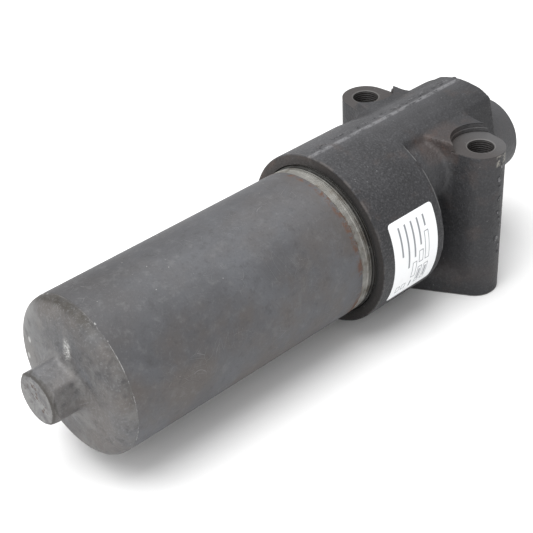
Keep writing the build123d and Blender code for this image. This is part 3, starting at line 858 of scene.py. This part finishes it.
class FilterStageSettings(bpy.types.PropertyGroup):
    """Light, floor and camera."""

    key_power: FloatProperty(
        name="Key light", description="Power of the large light above", default=34.0, min=0.0,
        subtype="POWER", unit="POWER",
    )
    fill_power: FloatProperty(
        name="Fill light", description="Power of the light at the bowl's end", default=6.0,
        min=0.0, subtype="POWER", unit="POWER",
    )
    sky_strength: FloatProperty(
        name="Surround", description="Strength of the even light all round", default=0.68, min=0.0,
    )
    floor_colour: tint("Floor", "Colour of the floor", (0.86, 0.86, 0.86))
    lens: FloatProperty(
        name="Lens", description="Focal length of the camera, in millimetres",
        default=87.85, min=10.0, max=300.0,
    )


# Operators


class FILTER_OT_cast_head(bpy.types.Operator):
    """Models the head: one iron casting with soft inner corners and machined seats and bores"""

    bl_idname = "filter.cast_head"
    bl_label = "Cast head"

    def execute(self, context):
        settings = context.scene.filter_head
        raw = bpy.data.objects.new("cast_head", frame["nodes"]["filter_head"].data.copy())
        context.scene.collection.objects.link(raw)
        pick(raw)
        tidy_mesh()
        head = self.add_stock(raw, settings.seam_height / MM)
        modify(head, "REMESH", mode="VOXEL", voxel_size=settings.voxel, adaptivity=0.0)
        modify(head, "SMOOTH", factor=0.5, iterations=settings.blend_steps)
        carve(head, self.lumps(), "UNION")
        self.machine(head)
        tidy_mesh(2e-6)
        smooth(head, 32)
        dress(head, cast_finish(settings))
        show(head, "head", "cast_head", "filter_head")
        return {"FINISHED"}

    def add_stock(self, raw, seam):
        """Closes the machined holes and adds the metal that machining takes off."""
        stock = [
            rod("stock", BARREL_RADIUS, (FRONT - 3, 0, AXIS_Z), (FRONT + 8, 0, AXIS_Z)),
            rod("stock", 26.0, (BOSS_END - 5, 0, BOSS_Z), (BOSS_END + 2, 0, BOSS_Z)),
            column_outline(35, 35, -3, 6),
            column_outline(14, 9, 92, WEB_TOP),
            self.fairing(),
        ]
        for x, y in BOLT_PLACES:
            stock.append(rod("stock", 10.0, (x, y, -3), (x, y, SPOTFACE_Z + 2)))
        for x in (-PORT_OFFSET, PORT_OFFSET):
            stock.append(rod("stock", 16.0, (x, 0, -3), (x, 0, 12)))
        sunk = seam - SEAM_RADIUS
        stock.append(rod(
            "stock", SEAM_RADIUS,
            (FRONT - 2, SEAM_SIDE, 117.8 + sunk), (ROOF_END, SEAM_SIDE, 118.2 + sunk), 12,
        ))
        return join("cast_head", *stock, raw)

    def fairing(self):
        """Carries the barrel's crest smoothly on to the slightly higher roof."""
        cone = turned("stock", [
            (BARREL_BACK - 5, 0), (BARREL_BACK - 5, BARREL_RADIUS), (BARREL_BACK, BARREL_RADIUS),
            (ROOF_END, ROOF_RADIUS), (ROOF_END, 0),
        ])
        deselect()
        bpy.ops.mesh.primitive_cube_add(
            size=MM, location=metres(0, 4, 110), scale=(120, 38, 24)
        )
        return carve(cone, named("cut"), "INTERSECT")

    def lumps(self):
        """Small rounded lumps that the mould left along the crest and down one column."""
        chance = random.Random(7)
        made = []
        x = FRONT + 2.5
        while x < 40:
            place = self.on_top(x, SEAM_SIDE + chance.uniform(-0.5, 0.5), 0.2)
            made.append(self.lump(place, 1.3, chance.uniform(0.7, 1.1), 0.65))
            x += chance.uniform(2.8, 7.5)
        x = FRONT + 7
        while x < 44:
            place = self.on_top(x, 10.3 + chance.uniform(-1.6, 2.0), 0)
            made.append(self.lump(place, chance.uniform(1.0, 2.6), chance.uniform(0.8, 1.7), 0.6))
            x += chance.uniform(4.6, 11.0)
        z = 31.0
        while z < 97:
            turn = math.radians(chance.uniform(-93, -72))
            place = (
                COLUMN_RADIUS * math.cos(turn), COLUMN_RADIUS * math.sin(turn) - BOLT_SIDE, z
            )
            made.append(self.lump(place, chance.uniform(0.9, 2.2), 0.5, chance.uniform(0.8, 2.2)))
            z += chance.uniform(4.6, 10.0)
        return join("lumps", *made)

    def on_top(self, x, y, proud):
        """The place on the barrel or roof above this x and y, a little proud of it."""
        along = max((x - BARREL_BACK) / (ROOF_END - BARREL_BACK), 0)
        surface = BARREL_RADIUS + (ROOF_RADIUS - BARREL_RADIUS) * along
        return x, y, AXIS_Z + math.sqrt(surface**2 - y**2) + proud

    def lump(self, place, length, width, height):
        """One small ellipsoid, by its place and its three half lengths."""
        deselect()
        bpy.ops.mesh.primitive_ico_sphere_add(
            subdivisions=2, radius=MM, location=metres(*place), scale=(length, width, height)
        )
        return named("lump")

    def machine(self, head):
        """Cuts the machined faces, seats and bores."""
        mouth = turned("cut", [
            (FRONT - 20, 0), (FRONT - 20, 90), (FRONT + 1.1, 90), (FRONT + 1.1, 58.6),
            *rounding((FRONT + 1.1, 57.3), (1.1, 1.1), 90, 180, 4),
            (FRONT, 50.9), (FRONT + 0.9, LAND_RADIUS), (LAND_END, LAND_RADIUS), (LAND_END, 48.2),
            (THREAD_END, 48.2), (THREAD_END, 36.0),
            *rounding((PARTITION - 6, 30), (6, 6), 90, 0, 6), (PARTITION, 0),
        ])
        carve(head, mouth)
        carve(head, rod("cut", 140.0, (0, 0, -20), (0, 0, 0), 32))
        carve(head, rod("cut", 40.0, (BOSS_END, 0, BOSS_Z), (BOSS_END + 20, 0, BOSS_Z), 32))
        for x, y in BOLT_PLACES:
            carve(head, self.stepped(x, y))
        for x, depth in ((-PORT_OFFSET, 24.0), (PORT_OFFSET, AXIS_Z)):
            carve(head, rod("cut", PORT_RADIUS, (x, 0, -1), (x, 0, depth)))
            ring = rod("cut", 15.23, (x, 0, -1), (x, 0, 2.66))
            carve(ring, rod("cut", 12.57, (x, 0, -2), (x, 0, 4)))
            carve(head, ring)
        carve(head, rod("cut", 10.0, (-PORT_OFFSET, 0, 14), (-48.0, 0, 34)))
        carve(head, rod("cut", 9.5, (PARTITION - 1, 0, AXIS_Z), (38, 0, AXIS_Z)))
        carve(head, rod("cut", 11.0, (PARTITION - 1, 0, AXIS_Z), (-24, 0, AXIS_Z)))
        side, height = BYPASS_AXIS
        bores = ((14.0, THREAD_END, PARTITION), (11.55, PARTITION - 1, -18), (8.5, -19, -6))
        for radius, start, end in bores:
            carve(head, rod("cut", radius, (start, side, height), (end, side, height), 96))
        carve(head, rod("cut", 5.0, (-12, side, height), (-12, 0, AXIS_Z), 48))
        carve(head, turned("cut", [
            (37, 0), (37, 1.5), (BOSS_END - 17, 1.5), (BOSS_END - 17, 10.05),
            (BOSS_END - 1.5, 10.05), (BOSS_END - 1.5, 16), (BOSS_END - 0.4, 16),
            (BOSS_END + 0.2, 16.6),
            (BOSS_END + 5, 16.6), (BOSS_END + 5, 0),
        ], height=BOSS_Z, steps=96))

    def stepped(self, x, y):
        """The spotface of a bolt column and its through hole, as one cutter."""
        rings = []
        for k in range(16, 0, -1):
            height = SPOTFACE_Z - 1.6 * k
            rings += [(height, BOLT_RADIUS), (height + 0.7, 8.95), (height + 0.9, 8.95)]
        outline = [
            (-5.0, 0), (-5.0, BOLT_RADIUS), *rings, (SPOTFACE_Z - 0.4, 8.6),
            (SPOTFACE_Z + 0.01, 9.0),
            (SPOTFACE_Z, 18.6), (SPOTFACE_Z + 2.6, 18.8), (SPOTFACE_Z + 2.9, 19.4),
            (SPOTFACE_Z + 20, 19.9), (SPOTFACE_Z + 20, 0),
        ]
        tool = turned("cut", outline, height=0.0, steps=128)
        tool.rotation_euler = (0, -math.pi / 2, 0)
        tool.location = metres(x, y, 0)
        return settle(tool)


class FILTER_OT_turned_bowl(bpy.types.Operator):
    """Models the bowl: wall, turned band, seal land, worn edge, rounded end and hexagon"""

    bl_idname = "filter.turned_bowl"
    bl_label = "Turned bowl"

    def execute(self, context):
        settings = context.scene.filter_bowl
        body = turned("turned_bowl", self.outline(), steps=settings.steps)
        bowl = join("turned_bowl", self.hexagon(), self.thread(), body)
        smooth(bowl, 24)
        dress(bowl, bowl_finish(settings))
        show(bowl, "bowl", "bowl_steel", "bowl")
        return {"FINISHED"}

    def outline(self):
        """The closed outline of the turned body, from the floor's pocket round to the end."""
        band = [
            (-98.2, 50.0), (-98.5, 49.55), (-99.1, 49.5), (-99.3, 48.8), (-99.9, 48.8),
            (-100.1, 49.45), (-100.8, 49.45), (-101.0, 48.7), (-101.7, 48.7), (-101.9, 49.4),
            (-102.6, 49.4), (-102.8, 49.75), (-103.5, 49.75), (-103.8, 49.2), (-107.5, 49.2),
            (BAND_START + 0.25, 49.8), (BAND_START, 50.0),
        ]
        groove = [(-86.97, 50.0), (-87.0, 46.6), (-92.0, 46.6), (-92.02, 50.0)]
        end = rounding((-284.5, 39.0), (8.06, 10.75), 90, 180, 14)
        return [
            (BOWL_FLOOR - 6, 0), (BOWL_FLOOR - 6, 8.08), (BOWL_FLOOR, 8.08), (BOWL_FLOOR, 34.0),
            *rounding((BOWL_FLOOR + 8, 34), (8, 8), 180, 90, 8),
            (BOWL_TIP, 42.0), (BOWL_TIP, 46.4), (BOWL_TIP - 0.5, THREAD_ROOT),
            (-83.5, THREAD_ROOT), (-83.5, 49.6), (-84.0, 50.0), *groove, *band,
            (BOWL_END + 0.2, 50.0), (BOWL_END - 0.15, 49.95), (BOWL_END - 0.4, 49.75),
            *end, (-293.0, 30.0), (-293.4, 20.0), (-293.6, 0),
        ]

    def hexagon(self):
        """The hexagon with soft corners, a turned chamfer and a fillet at its foot."""
        centre = metres(0, 0, AXIS_Z)
        deselect()
        bpy.ops.mesh.primitive_circle_add(
            vertices=6, radius=HEX_FLAT / math.cos(math.pi / 6) * MM, fill_type="NGON",
            location=metres(HEX_END, 0, AXIS_Z), rotation=(0, -math.pi / 2, 0),
        )
        piece = named("hexagon")
        edit_all()
        bpy.ops.mesh.bevel(offset=2.3 * MM, segments=6, affect="VERTICES")
        bpy.ops.mesh.select_all(action="SELECT")
        bpy.ops.transform.rotate(
            value=-math.radians(HEX_TURN), orient_axis="X", center_override=centre
        )
        rings = [
            (2.2, 1.0), (12.5, 1.0), (1.8, 1.015), (1.6, 1.04), (1.2, 1.07), (0.9, 1.11),
            (0.7, 1.2), (2.0, 1.25),
        ]
        for step, grow in rings:
            bpy.ops.mesh.extrude_region_move(TRANSFORM_OT_translate={"value": metres(step, 0, 0)})
            if grow != 1.0:
                bpy.ops.transform.resize(value=(1, grow, grow), center_override=centre)
        tidy_mesh()
        envelope = turned("envelope", [
            (HEX_END, 0), (HEX_END, 14.7), (HEX_END + 0.25, 15.1), (HEX_END + 0.7, 15.5),
            (HEX_END + 2.2, 16.8), (HEX_END + 4.9, 18.7), (HEX_END + 5.6, 19.2),
            (HEX_END + 5.7, 40.0), (HEX_END + 30, 40.0), (HEX_END + 30, 0),
        ])
        return carve(piece, envelope, "INTERSECT")

    def thread(self):
        """A screw thread along X: a small ridge wound round by the screw modifier."""
        piece = trace("bowl_thread", [
            (THREAD_START, THREAD_ROOT - 0.3), (THREAD_START + 1.0, THREAD_CREST),
            (THREAD_START + 1.8, THREAD_CREST), (THREAD_START + 2.8, THREAD_ROOT - 0.3),
        ], AXIS_Z)
        bpy.ops.mesh.edge_face_add()
        bpy.ops.object.mode_set(mode="OBJECT")
        bpy.context.scene.cursor.location = metres(0, 0, AXIS_Z)
        bpy.ops.object.origin_set(type="ORIGIN_CURSOR")
        modify(
            piece, "SCREW", axis="X", angle=math.tau, screw_offset=THREAD_PITCH * MM,
            iterations=THREAD_TURNS, steps=72, render_steps=72, use_merge_vertices=False,
        )
        settle(piece)
        tidy_mesh()
        return piece


class FILTER_OT_label(bpy.types.Operator):
    """Models the thin paper label on the barrel's side"""

    bl_idname = "filter.label"
    bl_label = "Label"

    def execute(self, context):
        radius = BARREL_RADIUS + 0.06
        angle = math.radians(LABEL_HIGH - LABEL_LOW)
        length = angle * radius
        deselect()
        bpy.ops.mesh.primitive_plane_add(
            size=1.0, location=(0, 0, 0), rotation=(math.pi / 2, 0, 0)
        )
        label = named("paper_label")
        edit_all()
        bpy.ops.transform.resize(value=(length * MM, 1, LABEL_WIDTH * MM))
        bpy.ops.mesh.bevel(offset=2.6 * MM, segments=6, affect="VERTICES")
        for k in range(1, LABEL_STRIPS):
            bpy.ops.mesh.select_all(action="SELECT")
            bpy.ops.mesh.bisect(
                plane_co=metres(length * (k / LABEL_STRIPS - 0.5), 0, 0), plane_no=(1, 0, 0),
            )
        bpy.ops.object.mode_set(mode="OBJECT")
        modify(label, "SIMPLE_DEFORM", deform_method="BEND", deform_axis="Z", angle=angle)
        modify(label, "SOLIDIFY", thickness=LABEL_THICKNESS * MM, offset=1.0)
        self.place(label, radius, math.radians((LABEL_HIGH + LABEL_LOW) / 2))
        smooth(label, 40)
        dress(label, label_finish())
        show(label, "head", "cast_head")
        return {"FINISHED"}

    def place(self, label, radius, middle):
        """Turns the bent sheet so that its length runs round the barrel, and lays it on."""
        outward = Vector((0, -math.cos(middle), math.sin(middle)))
        turn = Matrix((
            (0, 0, 1),
            (-math.sin(middle), math.cos(middle), 0),
            (-math.cos(middle), -math.sin(middle), 0),
        )).to_4x4()
        centre = metres(LABEL_MIDDLE, 0, AXIS_Z) + outward * radius * MM
        label.matrix_world = Matrix.Translation(centre) @ turn
        settle(label)


class FILTER_OT_plug(bpy.types.Operator):
    """Models the socket-headed plug in the rear boss"""

    bl_idname = "filter.plug"
    bl_label = "Port plug"

    def execute(self, context):
        low, top = (corner.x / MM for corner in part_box("port_plug"))
        seat = top - 5
        plug = turned("socket_plug", [
            (low, 0), (low, 9), (low + 1, 10), (seat, 10), (seat, 13.7), (seat + 0.3, 14),
            (top - 0.9, 14), (top - 0.35, 13.8), (top, 13.2), (top, 0),
        ], height=BOSS_Z, steps=128)
        key_radius = 10.0 / math.sqrt(3)
        carve(plug, rod("cut", key_radius, (top - 7, 0, BOSS_Z), (top + 1, 0, BOSS_Z), 6))
        lead = [(top - 0.7, 0), (top - 0.7, 5.1), (top + 0.1, 6.1), (top + 0.1, 0)]
        carve(plug, turned("cut", lead, height=BOSS_Z, steps=64))
        tidy_mesh(2e-6)
        smooth(plug, 30)
        dress(plug, plain_metal_finish(
            "plug_steel", (0.05, 0.05, 0.052), (0.09, 0.085, 0.08), 0.7, 0.35, 900))
        show(plug, "head", "plug_steel", "port_plug")
        return {"FINISHED"}


class FILTER_OT_inner_pieces(bpy.types.Operator):
    """Gives every piece that is kept from the frame its own finish"""

    bl_idname = "filter.inner_pieces"
    bl_label = "Inner pieces"

    def execute(self, context):
        finishes = {
            "rubber": rubber_finish(),
            "ring_plastic": ring_finish(),
            "filter_media": media_finish(),
            "turned_steel": plain_metal_finish(
                "turned_steel", (0.50, 0.50, 0.49), (0.40, 0.40, 0.39), 0.9, 0.3, 2500),
            "cap_steel": plain_metal_finish(
                "cap_steel", (0.60, 0.59, 0.56), (0.50, 0.49, 0.46), 0.9, 0.25, 60),
            "spring_steel": plain_metal_finish(
                "spring_steel", (0.30, 0.30, 0.31), (0.22, 0.22, 0.22), 0.9, 0.3, 400),
        }
        for part in frame["record"]["subparts"]:
            if part["material_slot"] in finishes:
                dress(frame["nodes"][part["node"]], finishes[part["material_slot"]])
        return {"FINISHED"}


class FILTER_OT_stage(bpy.types.Operator):
    """Sets the pale floor, the soft lights and the camera at the photograph's angle"""

    bl_idname = "filter.stage"
    bl_label = "Stage"

    def execute(self, context):
        settings = context.scene.filter_stage
        deselect()
        bpy.ops.mesh.primitive_plane_add(size=12.0, location=(0, 0, -0.0004))
        floor = named("studio_floor")
        dress(floor, floor_finish(settings))
        target = metres(-110, 0, 60)
        self.light("key_light", (-0.50, 0.15, 1.50), 1.5, settings.key_power, target)
        self.light("fill_light", (-1.5, -0.5, 0.7), 1.0, settings.fill_power, target)
        world = bpy.data.worlds.new("studio")
        context.scene.world = world
        world.use_nodes = True
        surround = world.node_tree.nodes["Background"]
        surround.inputs["Color"].default_value = (1.0, 1.0, 1.0, 1.0)
        surround.inputs["Strength"].default_value = settings.sky_strength
        deselect()
        bpy.ops.object.camera_add(location=CAMERA_PLACE)
        camera = context.object
        camera.name = "photo_camera"
        turn = (
            Matrix.Rotation(math.radians(CAMERA_AZIMUTH), 4, "Z")
            @ Matrix.Rotation(math.radians(90 - CAMERA_TILT), 4, "X")
            @ Matrix.Rotation(math.radians(CAMERA_ROLL), 4, "Z")
        )
        camera.rotation_euler = turn.to_euler()
        camera.data.sensor_width = 36.0
        camera.data.lens = settings.lens
        camera.data.clip_start = 0.01
        context.scene.camera = camera
        context.scene.view_settings.view_transform = "Standard"
        return {"FINISHED"}

    def light(self, name, place, size, power, target):
        """A large square light that faces the object."""
        deselect()
        aim = (target - Vector(place)).to_track_quat("-Z", "Y").to_euler()
        bpy.ops.object.light_add(type="AREA", location=place, rotation=aim)
        lamp = bpy.context.object
        lamp.name = name
        lamp.data.shape = "SQUARE"
        lamp.data.size = size
        lamp.data.energy = power


class FILTER_PT_panel(bpy.types.Panel):
    """Lists the filter's pieces and their settings"""

    bl_idname = "FILTER_PT_panel"
    bl_label = "Hydraulic Filter"
    bl_space_type = "VIEW_3D"
    bl_region_type = "UI"
    bl_category = "Filter"

    def draw(self, context):
        for operator in OPERATORS:
            self.layout.operator(operator.bl_idname)
        scene = context.scene
        for group in (scene.filter_head, scene.filter_bowl, scene.filter_stage):
            box = self.layout.box()
            for name in group.bl_rna.properties.keys():
                if name not in ("rna_type", "name"):
                    box.prop(group, name)


OPERATORS = (
    FILTER_OT_cast_head,
    FILTER_OT_turned_bowl,
    FILTER_OT_label,
    FILTER_OT_plug,
    FILTER_OT_inner_pieces,
    FILTER_OT_stage,
)
CLASSES = (
    FilterHeadSettings, FilterBowlSettings, FilterStageSettings, *OPERATORS, FILTER_PT_panel,
)


def register():
    for cls in CLASSES:
        bpy.utils.register_class(cls)
    bpy.types.Scene.filter_head = PointerProperty(type=FilterHeadSettings)
    bpy.types.Scene.filter_bowl = PointerProperty(type=FilterBowlSettings)
    bpy.types.Scene.filter_stage = PointerProperty(type=FilterStageSettings)


def unregister():
    del bpy.types.Scene.filter_stage
    del bpy.types.Scene.filter_bowl
    del bpy.types.Scene.filter_head
    for cls in reversed(CLASSES):
        bpy.utils.unregister_class(cls)


def main():
    register()
    bpy.ops.filter.inner_pieces()
    bpy.ops.filter.cast_head()
    bpy.ops.filter.turned_bowl()
    bpy.ops.filter.label()
    bpy.ops.filter.plug()
    bpy.ops.filter.stage()


if __name__ == "__main__":
    main()
